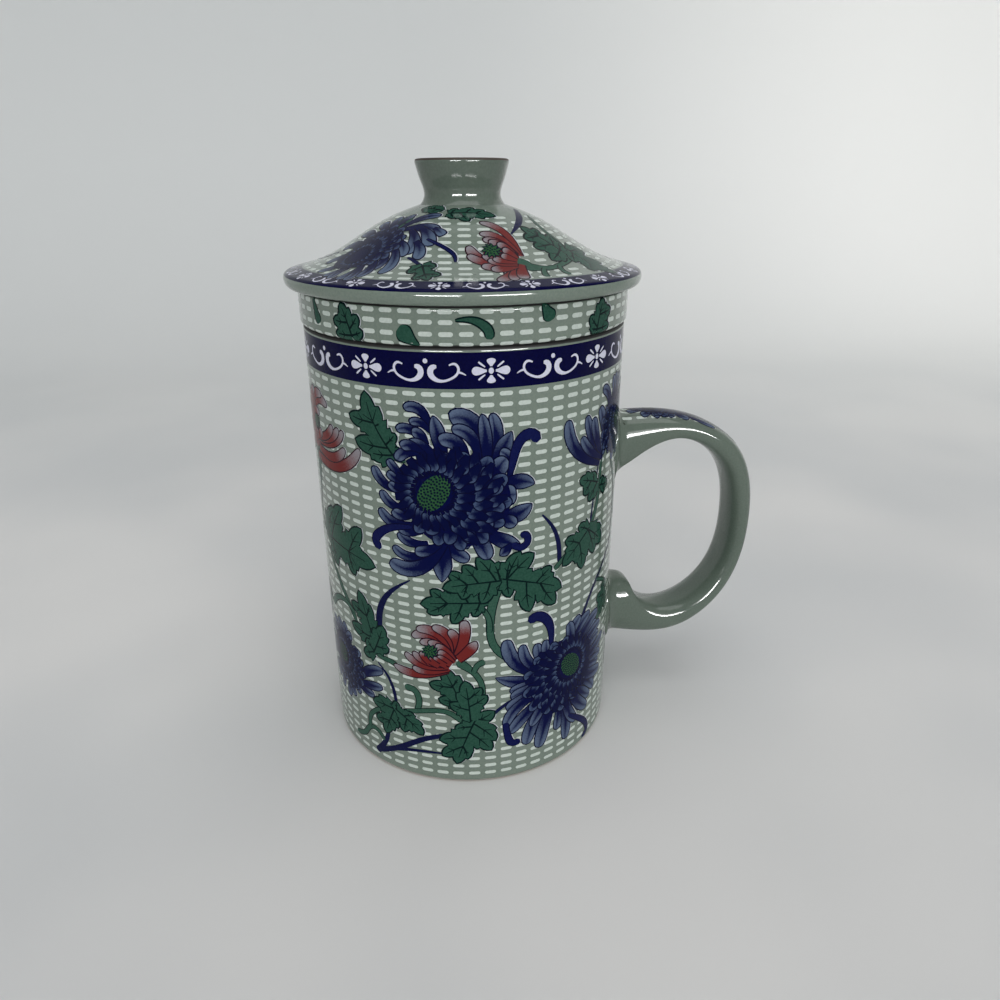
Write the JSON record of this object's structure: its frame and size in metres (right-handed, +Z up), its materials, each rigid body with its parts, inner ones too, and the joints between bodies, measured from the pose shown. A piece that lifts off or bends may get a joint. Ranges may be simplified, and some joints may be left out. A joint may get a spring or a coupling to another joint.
{
  "type": "lidded tea mug with infuser",
  "caption": "Straight ceramic tea mug with a strap handle, a lift-out strainer cup that stands on its rim, and a loose domed lid with a ring knob.",
  "frame": {"origin": "on the mug's axis, in the plane of the table under the foot ring", "axes": "+Z up along the mug's axis; +X from the axis to the handle"},
  "size_m": [0.1255, 0.087, 0.1513],
  "materials": {
    "body_glaze": "gloss sage glaze with a fired floral transfer",
    "handle_glaze": "gloss sage glaze",
    "infuser_glaze": "gloss sage glaze with a fired transfer on the collar",
    "lid_glaze": "gloss sage glaze with a fired floral transfer",
    "knob_glaze": "gloss sage glaze, bare brown top edge"
  },
  "bodies": {
    "mug": {"mug_body": "body_glaze", "mug_handle": "handle_glaze"},
    "infuser": {"infuser_cup": "infuser_glaze"},
    "lid": {"lid_dome": "lid_glaze", "lid_knob": "knob_glaze"}
  },
  "joints": [
    {"name": "infuser_lift", "type": "slide", "parent": "mug", "child": "infuser", "axis": [0, 0, 1], "range_m": [0, 0.07]},
    {"name": "lid_lift", "type": "slide", "parent": "infuser", "child": "lid", "axis": [0, 0, 1], "range_m": [0, 0.04]}
  ]
}
